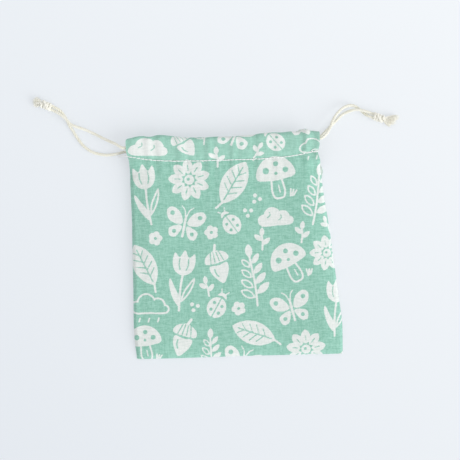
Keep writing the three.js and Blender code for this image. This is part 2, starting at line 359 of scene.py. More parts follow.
# A cord's way through the tunnels: x at its own slit and where it bends at the far one, (y, z) in the
# front and in the back tunnel, and (x, y) of more points in the back one
runs = {
    "left": {"side": -1, "near": -71.8, "bend": 54.29, "front": (67.6, 9.8), "back": (65.5, 1.7)},
    "right": {"side": 1, "near": 59.64, "bend": -66.45, "front": (70.5, 9.8), "back": (72.2, 1.7),
              "back_way": [(-61.5, 71.3), (-55, 70.75), (-40, 70.7), (0, 70.7), (35, 70.7), (50, 71.3)]},
}
line_step = 0.42


def run_points(run):
    """From the front tunnel's near end, round at the far slit, to the back tunnel's near end"""
    (front_y, front_z), (back_y, back_z) = run["front"], run["back"]
    points = [(run["near"], front_y, front_z)]
    radius, middle = (front_z - back_z) / 2, (front_z + back_z) / 2
    steps = 10
    for k in range(steps + 1):
        angle = k / steps * pi
        x = run["bend"] - run["side"] * radius * sin(angle)
        y = front_y + (back_y - front_y) * k / steps
        points.append((x, y, middle + radius * cos(angle)))
    way = [(x, y, back_z) for x, y in run.get("back_way", [])]
    return [*points, *way, (run["near"], back_y, back_z)]


def knot_curve(start_angle):
    """One strand's way through a knot, as it winds round the others, in the knot's own directions"""
    t = np.linspace(0, 1, 150)
    swell = between(t, 0, 0.16, 0.86, 1)
    angle = start_angle + tau * knot_turns * smoothstep(t, 0.02, 0.98)
    radius = strand_apart + (knot_radius - strand_apart) * swell + 0.12 * np.sin(7.3 * t + start_angle)
    along = -knot_half_length - 0.4 + (2 * knot_half_length + 0.6) * t
    along = along + 0.75 * swell * np.cos(angle + 0.6)
    return np.stack([along, radius * np.cos(angle), radius * np.sin(angle) * knot_flatness], 1)


def over_pass():
    """The strand that crosses over the turns of a knot from one face to the other"""
    t = np.linspace(0, 1, 90)
    up = 0.2 + 2.15 * np.sin(t * pi) ** 0.55
    return np.stack([-3.7 + 7.3 * t, 1.9 - 3.9 * smoothstep(t, 0.1, 0.9), up], 1)


def make_knot(name, knot):
    middle, away, sideways, up = knot
    axes = np.stack([away, sideways, up])
    tubes = Tubes()
    for start_angle in (0, pi):
        line = smooth_line((middle + knot_curve(start_angle) @ axes)[::4], line_step)
        plies(tubes, line, *turning_frame(line), 0, radius=0.5, offset=0.46, sides=7)
    line = smooth_line((middle + over_pass() @ axes)[::5], line_step)
    plies(tubes, line, *turning_frame(line), 1.5, radius=0.46, offset=0.42, sides=7)
    core = middle + np.linspace(-3.4, 3.4, 9)[:, None] * away
    tubes.add(core, 1.35 * np.array([0.5, 0.85, 1, 1, 1, 1, 1, 0.85, 0.5]), 10)
    stray_fibres(tubes, line, 8, 0.8)
    return tubes.make(name, painted_light_knot_finish)


fibre_steps = 13
thick_fibres = 5  # of each lobe, short ones that fill its root
fibre_lowest = 0.12


def make_tuft(name, knot, lobes):
    """Untwisted fibres beyond a knot. A lobe is its tip, its width there and its number of fibres."""
    middle, away, _, up = knot
    base = middle + away * (knot_half_length - 0.3)
    tubes = Tubes()
    t = np.linspace(0, 1, fibre_steps)[:, None]
    opening = np.sin(0.62 * pi * t**0.8)
    for tip, width, count in lobes:
        ahead = unit(tip - base)
        reach = np.linalg.norm(tip - base)
        across = unit(np.cross(ahead, up))
        over = np.cross(across, ahead)
        for k in (-1, 0, 1):
            inner = base + ahead * reach * (0.86 - 0.1 * k * k) * t + across * k * width * 0.5 * opening
            radius = width * 0.5 * np.sin(pi * (0.12 + 0.8 * t[:, 0])) ** 0.6
            tubes.add(inner, radius, 9, shade=0.3 + 0.2 * k)
        for k in range(count):
            thick = k < thick_fibres
            a, r = rng.uniform(0, tau), sqrt(rng.uniform(0, 1))
            out = (across * cos(a) + 0.75 * over * sin(a)) * r
            length = rng.uniform(0.4, 0.6) if thick else rng.uniform(0.8, 1.04) * (1.04 - 0.2 * r * r)
            path = base + out * 0.75 + ahead * reach * length * t + out * width * opening
            for direction in (across, over):
                height, waves, phase = rng.normal(0, 0.22), rng.uniform(0.6, 1.6), rng.uniform(0, 1)
                path = path + direction * height * np.sin(tau * (waves * t + phase)) * t
            path[:, 2] = np.maximum(path[:, 2], fibre_lowest)
            radius = (0.34 if thick else rng.uniform(0.09, 0.14)) * np.linspace(1, 0.45, fibre_steps)
            tubes.add(path, radius, 6 if thick else 3, shade=rng.uniform(0, 1))
    return tubes.make(name, painted_light_knot_finish)


tuft_lobes = {
    "left": [((-134, 103.3, 2), 1.75, 90), ((-134.2, 99.6, 1.7), 1.6, 90)],
    "right": [((115.2, 84, 1.6), 1.5, 90), ((113.2, 80.8, 1.5), 1.6, 70), ((109.9, 78.4, 1.5), 1.5, 80)],
}
strand_hidden = 1.3  # how far a strand goes on inside its knot
slit_margin = 0.2  # how far inside its slit a strand ends

for hand, run in runs.items():
    cord, knot = f"{hand}_drawcord", knots[hand]
    upper, lower = (np.array(strands[hand, level]) for level in ("upper", "lower"))
    into_knot = strand_hidden * knot[1]
    route = [upper[-1] + into_knot, *upper[::-1], *run_points(run), *lower, lower[-1] + into_knot]
    whole = smooth_line(np.array(route), line_step)
    side, other = turning_frame(whole)
    along = arc_length(whole)
    outside = np.nonzero((whole[:, 0] - run["near"]) * run["side"] > -slit_margin)[0]
    gap = np.nonzero(np.diff(outside) > 1)[0][0]
    first, last = outside[gap], outside[gap + 1]
    made = {}
    for name, part in (
        ("upper_strand", slice(0, first + 1)), ("tunnel_run", slice(first, last + 1)),
        ("lower_strand", slice(last, len(whole))),
    ):
        tubes = Tubes()
        plies(tubes, whole[part], side[part], other[part], along[part.start])
        if name != "tunnel_run":
            stray_fibres(tubes, whole[part], strand_strays)
        made[name] = tubes.make(f"{cord}_{name}", cord_finish)
    made["knot"] = make_knot(f"{cord}_knot", knot)
    made["frayed_ends"] = make_tuft(f"{cord}_frayed_ends", knot, tuft_lobes[hand])
    for name, piece in made.items():
        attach(piece, cord)
        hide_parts(f"{hand}_cord_{name}")


# The print: hand-drawn plants and small creatures. Each motif is a signed distance in millimetres,
# below zero inside, from the place p = (x, y) in the motif's own frame.

repeat_width, repeat_height = 150, 160
far_from_print = 6.0
outline_steps = 6  # between two points of an outline


def distance_to_line(p, points, closed):
    """Distance from the smooth line through the points, and whether p is inside it"""
    q = np.array(points, float)
    n = len(q)
    t = (np.arange(outline_steps) / outline_steps)[:, None]
    line = []
    for i in range(n if closed else n - 1):
        near = [(i + k) % n if closed else min(max(i + k, 0), n - 1) for k in (-1, 0, 1, 2)]
        a, b, c, d = q[near]
        cubic = (3 * b - a - 3 * c + d) * t**3
        line.append(0.5 * (2 * b + (c - a) * t + (2 * a - 5 * b + 4 * c - d) * t**2 + cubic))
    line = np.vstack([*line, q[:1] if closed else q[-1:]])
    x, y = p
    best = np.full(x.shape, np.inf)
    inside = np.zeros(x.shape, bool)
    for (ax, ay), (bx, by) in zip(line, line[1:]):
        ex, ey = bx - ax, by - ay
        t = np.clip(((x - ax) * ex + (y - ay) * ey) / (ex * ex + ey * ey), 0, 1)
        best = np.minimum(best, np.hypot(x - ax - t * ex, y - ay - t * ey))
        if closed and ay != by:
            inside ^= ((ay > y) != (by > y)) & (x < ax + (y - ay) * ex / (by - ay))
    return best, inside


def blob(p, points):
    away, inside = distance_to_line(p, points, True)
    return np.where(inside, -away, away)


def stroke(p, points, width):
    return distance_to_line(p, points, False)[0] - width / 2


def disc(p, cx, cy, r):
    return np.hypot(p[0] - cx, p[1] - cy) - r


def lens(p, a, b, half):
    """The pointed oval from a to b"""
    (ax, ay), (bx, by) = a, b
    length = hypot(bx - ax, by - ay)
    radius = (length**2 / 4 + half**2) / (2 * half)
    mx, my = (ax + bx) / 2, (ay + by) / 2
    off = (radius - half) / length
    nx, ny = (ay - by) * off, (bx - ax) * off
    return np.maximum(disc(p, mx + nx, my + ny, radius), disc(p, mx - nx, my - ny, radius))


def join(*parts):
    return np.minimum.reduce(parts)


def cut(whole, *parts):
    return np.maximum(whole, -join(*parts))


def rim(shape, width):
    return np.abs(shape + width / 2) - width / 2


def tulip(p):
    petals = [(-5.4, 7), (-7.8, 13), (-6.9, 20), (-3.3, 17), (0, 22), (3.3, 17), (6.9, 20), (7.8, 13),
              (5.4, 7), (0, 4.6)]
    lines = [stroke(p, [(k * 2.2, 8.5), (k * 3.2, 12), (k * 3, 16)], 0.9) for k in (-1, 1)]
    head = cut(blob(p, petals), *lines)
    left = blob(p, [(-0.6, -17), (-5.6, -11), (-8.6, -2.5), (-8.2, 1.8), (-4.6, -4), (-1.2, -10)])
    right = rim(blob(p, [(0.8, -14), (5.2, -9), (8.6, -1), (8.4, 4), (4.8, -1), (1.6, -7)]), 1.2)
    return join(head, left, right, stroke(p, [(0, 5), (-0.5, -6), (0.2, -20)], 1.5))


def sprig(p):
    parts = [stroke(p, [(0, -21), (0.8, -6), (0, 14)], 1.4), lens(p, (0, 12.6), (0.4, 22), 2.5)]
    for k, low in enumerate((-13.5, -6.5, 0.5, 7.5)):
        reach, half = 10.2 - 1.3 * k, 2.5 - 0.2 * k
        parts.append(lens(p, (1.4, low + 0.6), (reach + 0.4, low + 7.2), half))
        parts.append(rim(lens(p, (-0.6, low - 1.8), (-reach + 0.4, low + 4.8), half + 0.25), 1.05))
    return join(*parts)


def daisy(p):
    petals = 9
    parts = [cut(disc(p, 0, 0, 3.4), disc(p, -0.6, 0.5, 1.1))]
    for k in range(petals):
        a = tau * k / petals + 0.2
        c, s = cos(a), sin(a)
        petal = lens(p, (4.6 * c, 4.6 * s), (14 * c, 14 * s), 2.9) - 0.5
        parts.append(cut(petal, stroke(p, [(6.4 * c, 6.4 * s), (10 * c, 10 * s)], 0.8)))
    return join(*parts)


def mushroom(p):
    dome = [(-12.5, 1), (-12, 7), (-7, 13), (0, 15), (7, 13), (12, 7), (12.5, 1), (6, -0.6), (0, -1),
            (-6, -0.6)]
    spots = ((-6, 6.2, 2.1), (1.2, 9.8, 1.7), (6.8, 5, 1.9), (0.2, 3.6, 1.1))
    cap = cut(blob(p, dome), *(disc(p, *spot) for spot in spots))
    stem = [(-3.6, -1.4), (-4.2, -8), (-3, -12), (0, -12.8), (3, -12), (4.2, -8), (3.4, -1.4)]
    grass = [stroke(p, [(7 + k, -12.6), (8 + 1.8 * k, -8.2 - 0.8 * k)], 1.1) for k in range(3)]
    return join(cap, stroke(p, stem, 1.3), stroke(p, [(0.6, -4.4), (0.8, -9)], 0.9), *grass)


def leaf(p):
    body = lens(p, (0, -16), (0, 16.5), 8.2) - 0.3
    veins = [stroke(p, [(0, -13.4), (0, 12.4)], 0.95)]
    for low, reach in ((-9, 5.4), (-4, 6.2), (1, 5.4), (6, 3.6)):
        veins.append(stroke(p, [(0, low), (reach, low + 4.2)], 0.8))
        veins.append(stroke(p, [(0, low + 1.6), (-reach, low + 5.8)], 0.8))
    return join(cut(body, *veins), stroke(p, [(0, -15.6), (-1.8, -21)], 1.5))


def butterfly(p):
    wings, spots, feelers = [], [], []
    for k in (-1, 1):
        upper = [(1.6, 1), (5, 8.4), (11.4, 11), (14.6, 7.6), (12, 1.6), (6, -0.6)]
        lower = [(1.8, -1.4), (6.4, -2), (10.6, -4.6), (9.4, -9.8), (5.2, -10), (2.4, -5.6)]
        wings += [blob(p, [(k * x, y) for x, y in wing]) for wing in (upper, lower)]
        spots += [disc(p, k * 10.2, 6.6, 1.7), disc(p, k * 6.6, -6.2, 1.5)]
        feelers.append(stroke(p, [(k * 0.5, 6), (k * 1.8, 10.4), (k * 4.2, 12.8)], 0.9))
    return join(cut(join(*wings), *spots), stroke(p, [(0, 6), (0, -9)], 1.7), *feelers)


def cloud_shape(p):
    puffs = ((-8.4, -0.6, 4.6), (-1.6, 2.6, 6.6), (6.4, 0.8, 5.4), (11.2, -1.9, 3.3))
    low = np.maximum(join(*(disc(p, *puff) for puff in puffs)), -5.2 - p[1])
    return join(low, blob(p, [(-9, -5.2), (-9, 0), (0, 4), (8, 1), (11, -1), (11, -5.2), (0, -5.2)]))


def cloud(p):
    marks = [stroke(p, [(-5.6, 1.4), (-3.4, 3), (-3.6, 5.4)], 0.85),
             stroke(p, [(3, -1), (5.2, 0.4), (5, 2.6)], 0.85)]
    return cut(cloud_shape(p), *marks)


def rain_cloud(p):
    drops = [stroke(p, [(k, -8.2), (k - 0.8, -10.6)], 1.1) for k in (-6, 0.5, 7)]
    return join(rim(cloud_shape(p), 1.25), *drops)


def acorn(p):
    cap = blob(p, [(-7.6, 2.2), (-6.6, 6.8), (0, 9.6), (6.6, 6.8), (7.6, 2.2), (0, 1.2)])
    lines = [stroke(p, [(k, 2), (k * 0.6, 9)], 0.75) for k in (-4.4, -1.5, 1.5, 4.4)]
    nut = blob(p, [(-5.8, 0.2), (-5.9, -4.4), (-3.2, -9.4), (0, -12.6), (3.2, -9.4), (5.9, -4.4),
                   (5.8, 0.2), (0, -0.4)])
    shine = stroke(p, [(-3.2, -2.2), (-3.1, -5), (-1.9, -7.6)], 0.95)
    return join(cut(cap, *lines), cut(nut, shine), stroke(p, [(0, 9), (1.6, 13)], 1.8))


def ladybird(p):
    marks = [stroke(p, [(0, -7), (0, 7)], 0.85)]
    marks += [disc(p, s * 2.9, h, 1.15) for s in (-1, 1) for h in (-2.8, 2.4)]
    head = blob(p, [(-3.4, 7.9), (-2.2, 10.4), (0, 11.2), (2.2, 10.4), (3.4, 7.9), (0, 8.8)])
    feelers = [stroke(p, [(s * 1.3, 10.6), (s * 2.8, 13.2)], 0.8) for s in (-1, 1)]
    return join(cut(disc((p[0], p[1] * 0.9), 0, 0, 6.6), *marks), head, *feelers)


def blossom(p):
    turns = np.arange(5) * tau / 5 + 0.3
    petals = [disc(p, 2.5 * cos(a), 2.5 * sin(a), 1.95) for a in turns]
    return cut(join(*petals), disc(p, 0, 0, 0.95))


def twig(p):
    leaves = [lens(p, (0.4, -2), (5, 2), 1.5), lens(p, (-0.2, 0.4), (-4.4, 4.4), 1.5),
              lens(p, (0, 3), (0.6, 8.4), 1.5)]
    return join(stroke(p, [(0, -5), (0.4, 0), (0, 4)], 1.2), *leaves)


def berries(p):
    return join(disc(p, -1.9, -1.1, 1.25), disc(p, 1.9, -1.2, 1.25), disc(p, 0.1, 2.1, 1.25))


# Each motif's places on the cloth in millimetres, with its turn in degrees and its size there
layout = {
    tulip: [(-55, 35, 7, 0.98), (-33, -24, -8, 0.98), (71, -45, -5, 0.93)],
    daisy: [(-26, 45, 4, 0.98), (66, -7, 7, 0.83), (50, -72, 0, 0.93)],
    leaf: [(4, 42, -32, 0.98), (-58, -12, 26, 0.93), (15, -60, 70, 0.93)],
    mushroom: [(33, 44, 9, 1.03), (41, -14, 27, 0.98), (-59, -66, 6, 0.88)],
    sprig: [(60, 33, -9, 0.98), (15, -21, 8, 0.98), (-15, -73, -1, 0.78)],
    butterfly: [(-30, 15, -13, 0.93), (41, -44, 14, 0.93), (6, 78, -20, 0.98)],
    cloud: [(31, 17, 4, 0.88), (-54, 68, -3, 0.98)],
    ladybird: [(2, 14, 35, 0.93), (-10, -42, -30, 0.98), (33, 70, 39, 0.93)],
    acorn: [(-8, -13, 16, 1.03), (-33, -62, -18, 1.03), (-29, 72, 35, 0.93)],
    rain_cloud: [(-56, -40, -1, 0.98), (60, 66, 3, 0.88)],
    twig: [
        (-71, 14, 14, 1.15), (-7, 59, 5, 1.15), (-74, 53, -1, 1.15), (22, 2, 2, 1.11),
        (49, 6, -3, 1.08), (-16, -29, 13, 1.04), (20, 63, -27, 0.97), (67, 11, 23, 0.91),
    ],
    blossom: [(-74, -79, 0, 1.1), (-50, 6, 56, 1.1), (5, -43, 26, 1.1), (-12, 9, 18, 1.1)],
    berries: [(19, 31, 24, 1.1), (-72, 38, 57, 1.1), (-25, -41, 45, 1.1), (13, 22, 58, 1.1)],
}
motif_reach = 26  # no motif of size 1 goes further from its middle


def print_distance(x, y):
    found = np.full(x.shape, far_from_print)
    for motif, cx, cy, turn, size in ((motif, *place) for motif in layout for place in layout[motif]):
        c, s = cos(radians(turn)), sin(radians(turn))
        dx = (x - cx + repeat_width / 2) % repeat_width - repeat_width / 2
        dy = (y - cy + repeat_height / 2) % repeat_height - repeat_height / 2
        near = np.hypot(dx, dy) < motif_reach * size
        if near.any():
            dx, dy = dx[near], dy[near]
            p = (dx * c + dy * s) / size, (dy * c - dx * s) / size
            found[near] = np.minimum(found[near], motif(p) * size)
    return found


# Cloth. The outline follows the photograph and stays on the CAD outline's line.

cloth = 0.4  # its thickness
half_width, half_length = 71.8, 76
centre_x = -6.08  # of the mouth
slit_bottom, slit_top = 49, 58
slit_half_width = 65.72  # half of the mouth, between the slits
seam_height = 0.75  # of the front cloth at the sides and the bottom
stitch_height = 9.2  # of the front cloth at its stitch line
bottom_rise = 4.4  # of the front cloth above its seam, at the bottom of the bag
corner_radius = 0.7
steep_width = 2.4  # of the steep part of an edge
hem_short = 9.5  # how far the turned-in ply ends before the slit
stitch_pitch = 2.6
tunnel_inset = 0.8  # of the left tunnel end, from the CAD outline
tunnel_depth = 18.3
tunnel_cloth = 41  # from the stitch line over the fold to the hem's raw edge
top_corner_low, top_corner_radius = 71.6, 2.6
right_slant_low, right_slant_high, right_slant = -45, 58, 12.1
stitch_low = 57.6  # the stitch line's lowest place
stitch_curve = (4.712, 0.194, 0.305, 0.072, 57.583)  # a polynomial, from its highest power down
stitch_end_y = {"left": 61.3, "right": 61}
crease_x = 57


def round_corner(k, radius):
    return radius * (1 - np.sqrt(1 - np.clip(k, 0, 1) ** 2))


def corner_inset(y):
    return round_corner(1 - (y + half_length) / corner_radius, corner_radius)


def left_edge(y):
    flare = smoothstep(y, 56.6, 66.6)
    wave = 0.3 * np.sin(y / 11 + 0.6) * np.sin(y / 29) * (1 - smoothstep(y, 50, 62))
    slant = 0.95 * smoothstep(-y, 62, 76) - 0.5 * bump(y, -36, 30)
    corner = tunnel_inset * flare + round_corner((y - top_corner_low) / top_corner_radius, top_corner_radius)
    return -half_width + 2.7 * (1 - flare) + wave + slant + corner + corner_inset(y)


def right_edge(y):
    t = np.minimum(1, (y - right_slant_low) / (right_slant_high - right_slant_low))
    ramp = (t + np.sqrt(t * t + 0.02)) / 2
    wave = 0.35 * np.sin(y / 13 + 2) * np.sin(y / 37 + 0.4) * (1 - smoothstep(y, 50, 62))
    bulge = 0.75 * smoothstep(-y, 40, 56) - 1.3 * bump(y, 61.3, 3.2)
    return half_width - right_slant * ramp + wave + bulge - corner_inset(y)


def half_ends(half, y, short=0):
    """The x of a half's left and right ends, whose outer one may end short of the outline"""
    return (left_edge(y) + short, centre_x) if half == "left" else (centre_x, right_edge(y) - short)


def stitch_line(x):
    return np.polyval(stitch_curve, (x - centre_x) / slit_half_width)


# The top fold's line: bumps near the left end, and a sharp one near the right
top_points = [
    (-75, 73), (-69.5, 73.9), (-66.7, 74.8), (-61.3, 75.3), (-58.3, 74.8), (-55.6, 74.7), (-50.5, 75.7),
    (-41, 74.8), (-31, 73.6), (-20.9, 73.3), (-10, 73.5), (0.7, 73.4), (6.1, 73.7), (14.2, 74.2),
    (21, 75), (25.1, 75.4), (33.2, 75.1), (39.9, 75.6), (45.3, 75.3), (47.2, 76.3), (48.9, 77.1),
    (50.6, 76.8), (52.3, 76), (55.6, 75.7), (59, 74.8), (62, 73.4),
]
top_line = smooth_line([(x, y, 0) for x, y in top_points], 0.4)


def top_edge(x):
    return np.interp(x, top_line[:, 0], top_line[:, 1])


def folds(x):
    """Uneven gathers across the mouth"""
    close = np.sin(tau * x / 9.4 + 1.3 * np.sin(x / 9.7 + 0.8))
    closer = 0.55 * np.sin(tau * x / 6.1 + 1.7 * np.sin(x / 13))
    return close + closer + 0.35 * np.sin(tau * x / 17 + 0.4)


def top_bump(x):
    """The sharp gather near the mouth's right end"""
    return 0.8 * bump(x, 49.4, 1.7) - 0.5 * bump(x, 45.6, 1.5)


def undulation(x, y):
    """Soft unevenness of cloth that was folded and smoothed by hand"""
    return (0.3 * np.sin(x / 13.1 + y / 21 + 0.7) * np.sin(y / 17.3 - x / 40)
            + 0.22 * np.sin(x / 7.9 - y / 33 + 2.1) * np.sin(y / 24 + 1.1)
            + 0.12 * np.sin(x / 5.1 + y / 9.3) * np.sin(y / 7.7 - x / 11 + 0.3))


def rolled(distance, width):
    """How far the cloth has risen to its full height: steeply at its edge, and then softly"""
    steep, soft = (np.sin(np.clip(distance / w, 0, 1) * pi / 2) for w in (steep_width, width))
    return 0.55 * steep + 0.45 * soft


def edge_lift(x, y):
    """The left side's seam stands a little off the table"""
    away = 1 - smoothstep(x - left_edge(y), 0, 7)
    return 1.1 * away * between(y, -half_length, -50, 44, 50)


def front_height(x, y):
    up = y + half_length
    to_stitch = np.clip(up / (stitch_line(x) + half_length), 0, 1)
    plateau = bottom_rise + (stitch_height - seam_height - bottom_rise) * to_stitch**1.2
    sides = rolled(x - left_edge(y), 16) * rolled(right_edge(y) - x, 16)
    slit = smoothstep(y, slit_bottom, slit_top)
    inner = rolled(up, 12) * (sides * (1 - slit) + slit)
    below = stitch_line(x) - y
    gathers = 0.3 * folds(x) * np.exp(-np.maximum(below, 0) / 15)
    holes = 0.12 * np.cos(tau * x / stitch_pitch) * np.exp(-np.maximum(below, 0) / 2.2)
    crease = -0.9 * bump(x + 0.08 * (y - 40), crease_x, 1.9) * between(y, 22, 34, 52, 58)
    relief = undulation(x, y) + gathers + holes + crease
    return seam_height + edge_lift(x, y) + (plateau + relief) * inner - 0.3 * bump(below, 0, 1.1)


def back_height(x, y):
    sides = np.minimum(x - left_edge(y), right_edge(y) - x)
    open_sides = sides + 99 * smoothstep(y, slit_bottom, slit_top)
    return 0.55 * (1 - rolled(np.minimum(open_sides, y + half_length), 2.2)) + edge_lift(x, y)


# Outer face of each tunnel's cloth, from the stitch line over the top fold and back to the hem's raw
# edge: y runs from 0 at the stitch line to 1 at the fold, and z is in millimetres.
front_section = [
    (0, 8.75), (0.05, 9.4), (0.13, 10.2), (0.27, 10.95), (0.45, 11.55), (0.66, 12), (0.84, 12.3),
    (0.93, 11.9), (0.985, 10.8), (1, 9.75), (0.955, 8.85), (0.85, 8.3), (0.6, 8.1), (0.3, 8.1), (0.05, 8.1),
    (-0.13, 8.1),
]
back_section = [
    (0, 0), (0.2, 0), (0.5, 0), (0.8, 0), (0.93, 0.25), (0.985, 1.3), (0.95, 2.6), (0.85, 3.35),
    (0.65, 3.7), (0.42, 3.65), (0.25, 3.1), (0.12, 2.1), (0.02, 1.4), (-0.13, 1.15),
]


def thin_shell(grid, inward, flat, thickness):
    """A closed ply: the grid is its printed face, and the other face has every second point. Rows and
    columns of the grid have to be odd in number. Returns points, faces, the flat place of each point
    and each face's side, 0 printed and 1 plain."""
    normals = unit(np.cross(np.gradient(grid, axis=1), np.gradient(grid, axis=0))) * inward
    behind = (grid + thickness * normals)[::2, ::2]
    points = np.vstack([grid.reshape(-1, 3), behind.reshape(-1, 3)])
    flats = np.vstack([flat.reshape(-1, 2), flat[::2, ::2].reshape(-1, 2)])
    front, back = (np.arange(g[..., 0].size).reshape(g.shape[:2]) for g in (grid, behind))
    back += front.size
    faces, side = [], []
    for number, k in enumerate((front, back)):
        quads = np.stack([k[:-1, :-1], k[:-1, 1:], k[1:, 1:], k[1:, :-1]], 2).reshape(-1, 4)
        faces += (quads[:, [0, 3, 2, 1]] if number else quads).tolist()
        side += [number] * len(quads)
    for near, far, flip in (
        (front[0], back[0], True), (front[-1], back[-1], False),
        (front[:, 0], back[:, 0], False), (front[:, -1], back[:, -1], True),
    ):
        loops = np.stack([near[:-1:2], near[1::2], near[2::2], far[1:], far[:-1]], 1)
        faces += (loops[:, ::-1] if flip else loops).tolist()
        side += [0] * len(loops)
    if inward > 0:
        faces = [face[::-1] for face in faces]
    return points, faces, flats, side


thread_pitch = 0.45
painted_light_from = (57, 60)  # painted light: above these heights the tunnel is painted a little lighter than the body below, as if more light fell on it


def cloth_material(name, printed):
    n = Finish(name, 0.94, sheen=0.1, specular=0.12)
    flat = n.attribute("cloth_place", "Vector")
    place = n.node("ShaderNodeSeparateXYZ", {"Vector": flat}).outputs

    def streaks(x_scale, y_scale):
        return n.noise(n.vector_math("MULTIPLY", flat, (x_scale, y_scale, 1)), 1.0, 2, 0.55)

    fine_weft = streaks(0.34, 2.5)
    slub = n.math("MULTIPLY", streaks(0.15, 0.85), 0.3)
    for share, streak in (
        (0.22, streaks(0.85, 0.14)), (0.17, fine_weft), (0.15, streaks(2.5, 0.3)), (0.16, streaks(0.45, 1.6)),
    ):
        slub = n.math("MULTIPLY_ADD", streak, share, slub)
    grain = n.noise(flat, 2.2)
    specks = n.noise(n.vector_math("ADD", flat, (31, 17, 5)), 1.25, 2, 0.6)
    tone = n.spread(slub, 0.4, 0.6)
    if printed:
        ground = n.mix(tone, (138, 192, 173), (166, 215, 199))
        ground = n.mix(n.spread(specks, 0.6, 0.72, 0.35), ground, (193, 226, 214))
        ground = n.mix(n.spread(specks, 0.42, 0.3, 0.4), ground, (120, 180, 158))
        bare = n.mix(tone, (222, 230, 226), (240, 243, 241))
        bare = n.mix(n.spread(specks, 0.42, 0.3, 0.5), bare, (205, 221, 212))
        # Painted light: the tunnel's ground and bare cloth are mixed towards lighter colours, standing in for
        # light that falls on the raised tunnel
        tunnel_painted_light = n.spread(place["Y"], *painted_light_from, 0.16)
        ground = n.mix(tunnel_painted_light, ground, (193, 226, 214))
        bare = n.mix(tunnel_painted_light, bare, (252, 253, 252))
        ragged = n.math("SUBTRACT", fine_weft, 0.5)
        ragged = n.math("MULTIPLY_ADD", n.math("SUBTRACT", grain, 0.5), 0.7, ragged)
        distance = n.math("ADD", n.attribute("print_distance"), ragged)
        colour = n.mix(n.spread(distance, -0.16, 0.16), bare, ground)
    else:
        colour = n.mix(tone, (206, 223, 214), (224, 235, 228))
    warp, weft = (n.math("SINE", n.math("MULTIPLY", place[k], pi / thread_pitch)) for k in ("X", "Y"))
    heights = []
    for thread, other, way in ((warp, weft, 0.5), (weft, warp, -0.5)):
        over = n.math("MULTIPLY_ADD", n.math("MULTIPLY", n.math("SIGN", thread), other), way, 0.5)
        heights.append(n.math("MULTIPLY", n.math("SQRT", n.math("ABSOLUTE", thread)), over))
    uneven = n.math("MULTIPLY_ADD", slub, 1.2, grain)
    return n.finish(colour, n.math("MULTIPLY_ADD", n.math("MAXIMUM", *heights), 0.45, uneven), 0.00016, 0.7)


printed_finish = cloth_material("printed_cloth", True)
plain_finish = cloth_material("cloth_wrong_side", False)


def make_ply(name, grid, inward, flat, shift=None, thickness=cloth):
    """A ply of cloth, with the print on its outer side where the print's shift across, its shift up and
    its way across, 1 or -1, are given"""
    points, faces, flats, side = thin_shell(grid, inward, flat, thickness)
    attributes, finishes = {}, [plain_finish]
    if shift:
        across, up, way = shift
        attributes["print_distance"] = print_distance(flats[:, 0] * way + across, flats[:, 1] + up)
        finishes.insert(0, printed_finish)
    attributes["cloth_place"] = np.pad(flats, ((0, 0), (0, 1)))
    piece = add_mesh(name, points, faces, finishes, attributes, side if shift else None)
    return piece


def odd(n):
    return int(n) // 2 * 2 + 1


back_peek = 1.5  # how far the back cloth shows beyond the front's right edge, beside the slit's foot
back_peek_place = (49.3, 3.4)  # its y and its width
hem_fold = (19, 24)  # how far from the stitch line the cloth has gone over its top fold
hem_start = 19.5  # and where its ends start to draw back from the slit
top_step = {"front": 0, "back": 0.5}  # how far a tunnel's fold lies below the top line


def body_grid(half, face, stitch_x, step):
    """Points (rows, columns, 3) of a body's outer face, from the bottom to the stitch line"""
    high = stitch_line(stitch_x)
    v = np.linspace(0, 1, odd((stitch_low + half_length) / step))[:, None]
    low = -half_length + 0.12 * np.sin(stitch_x / 17 + 1)
    y = low + (high - low) * v
    left, right = half_ends(half, y)
    u = np.linspace(0, 1, len(stitch_x))
    x = left + (right - left) * u
    z = front_height(x, y) if face == "front" else back_height(x, y)
    if (face, half) == ("back", "right"):
        x = x + back_peek * smoothstep(u, 0.9, 1) * bump(y, *back_peek_place)
    return np.stack([x, y, z], 2)


def tunnel_grid(half, face, stitch_x, step):
    """Points (rows, columns, 3) of a tunnel's outer face, and each one's distance from the stitch line"""
    section = front_section if face == "front" else back_section
    line = smooth_line([(0, y * tunnel_depth, z) for y, z in section], 0.12)
    along = arc_length(line)
    even = np.linspace(0, along[-1], odd(tunnel_cloth / step))
    share, z = (np.interp(even, along, line[:, k])[:, None] for k in (1, 2))
    even = even[:, None]
    low = stitch_line(stitch_x)
    y = low + share / tunnel_depth * (top_edge(stitch_x) - top_step[face] - low)
    ripple = np.maximum(0.27 * folds(stitch_x) + top_bump(stitch_x), -0.3) + 0.35 * undulation(stitch_x, y)
    z = z + (face == "front") * ripple * between(even, 0, 2.5, *hem_fold)
    left, right = half_ends(half, y, hem_short * smoothstep(even, hem_start, hem_fold[1]))
    x = left + (right - left) * np.linspace(0, 1, len(stitch_x))
    return np.stack([x, y, z], 2), even


# How the cloth pieces are placed. Those along the mouth go on the bag's body, each with a mesh of its own;
# those of the body have their placing baked into their mesh.


def gather(piece):
    """A piece along the mouth: it goes on the bag's body, with a mesh of its own"""
    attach(piece, "bag")
    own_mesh(piece)


def follow(piece):
    """A piece of the body: its placing is baked into its mesh"""
    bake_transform(piece)


